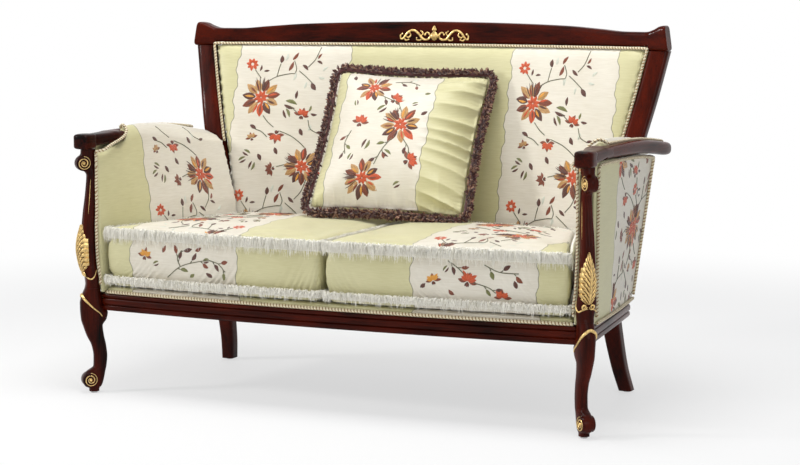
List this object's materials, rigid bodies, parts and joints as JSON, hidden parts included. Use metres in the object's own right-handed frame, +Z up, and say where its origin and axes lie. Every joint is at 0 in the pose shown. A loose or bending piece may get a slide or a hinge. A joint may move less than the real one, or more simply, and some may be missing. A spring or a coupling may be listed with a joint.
{
  "type": "cabriole sofa",
  "caption": "Compact sofa with a bowed show-wood back, padded arms on carved posts, cabriole front legs, fringed loose seat cushions and a ruched pillow.",
  "frame": {"origin": "on the floor, under the middle of the overall box", "axes": "+X to the sitter's left, which is the right side seen from the front; +Y from the front to the back; +Z up"},
  "size_m": [1.502, 0.8156, 1.009],
  "materials": {
    "mahogany": "gloss lacquer",
    "beech": "bare, planed",
    "jute": "woven straps",
    "satin": "satin with embroidered floral bands",
    "black_cloth": "matt",
    "trim": "twisted cord",
    "fringe": "ruffled fringe",
    "ruche": "looped ruche",
    "gilt": "antique gold leaf",
    "steel": "nail-on glides"
  },
  "bodies": {
    "frame": {"front_leg_right": "mahogany", "front_leg_left": "mahogany", "arm_post_right": "mahogany", "arm_post_left": "mahogany", "rear_leg_stile_right": "mahogany", "rear_leg_stile_left": "mahogany", "arm_rail_right": "mahogany", "arm_rail_left": "mahogany", "crest_rail": "mahogany", "front_seat_rail": "mahogany", "side_seat_rail_right": "mahogany", "side_seat_rail_left": "mahogany", "rear_seat_rail": "beech", "seat_cross_brace": "beech", "front_corner_block_right": "beech", "front_corner_block_left": "beech", "rear_corner_block_right": "beech", "rear_corner_block_left": "beech", "back_tack_rail": "beech", "arm_tack_rail_right": "beech", "arm_tack_rail_left": "beech", "seat_webbing": "jute", "back_webbing": "jute", "seat_deck": "satin", "back_pad": "satin", "outside_back_panel": "satin", "arm_pad_right": "satin", "arm_pad_left": "satin", "outside_arm_panel_right": "satin", "outside_arm_panel_left": "satin", "dust_cover": "black_cloth", "back_gimp": "trim", "outside_back_gimp": "trim", "front_rail_gimp": "trim", "side_rail_gimp_right": "trim", "side_rail_gimp_left": "trim", "outer_arm_gimp_right": "trim", "outer_arm_gimp_left": "trim", "arm_gimp_right": "trim", "arm_gimp_left": "trim", "arm_top_gimp_right": "trim", "arm_top_gimp_left": "trim", "crest_ornament": "gilt", "post_leaf_right": "gilt", "post_leaf_left": "gilt", "knee_gilding_right": "gilt", "knee_gilding_left": "gilt", "front_glide_right": "steel", "front_glide_left": "steel", "rear_glide_right": "steel", "rear_glide_left": "steel"},
    "right_cushion": {"seat_cushion_right": "satin", "cushion_top_fringe_right": "fringe", "cushion_bottom_fringe_right": "fringe"},
    "left_cushion": {"seat_cushion_left": "satin", "cushion_top_fringe_left": "fringe", "cushion_bottom_fringe_left": "fringe"},
    "pillow": {"throw_pillow": "satin", "pillow_ruche": "ruche"}
  },
  "joints": [
    {"name": "seat_cushion_right_slide", "type": "slide", "parent": "frame", "child": "right_cushion", "axis": [0, -1, 0], "range_m": [0, 0.6]},
    {"name": "seat_cushion_left_slide", "type": "slide", "parent": "frame", "child": "left_cushion", "axis": [0, -1, 0], "range_m": [0, 0.6]},
    {"name": "pillow_lift", "type": "slide", "parent": "frame", "child": "pillow", "axis": [0, 0, 1], "range_m": [0, 0.6]}
  ]
}
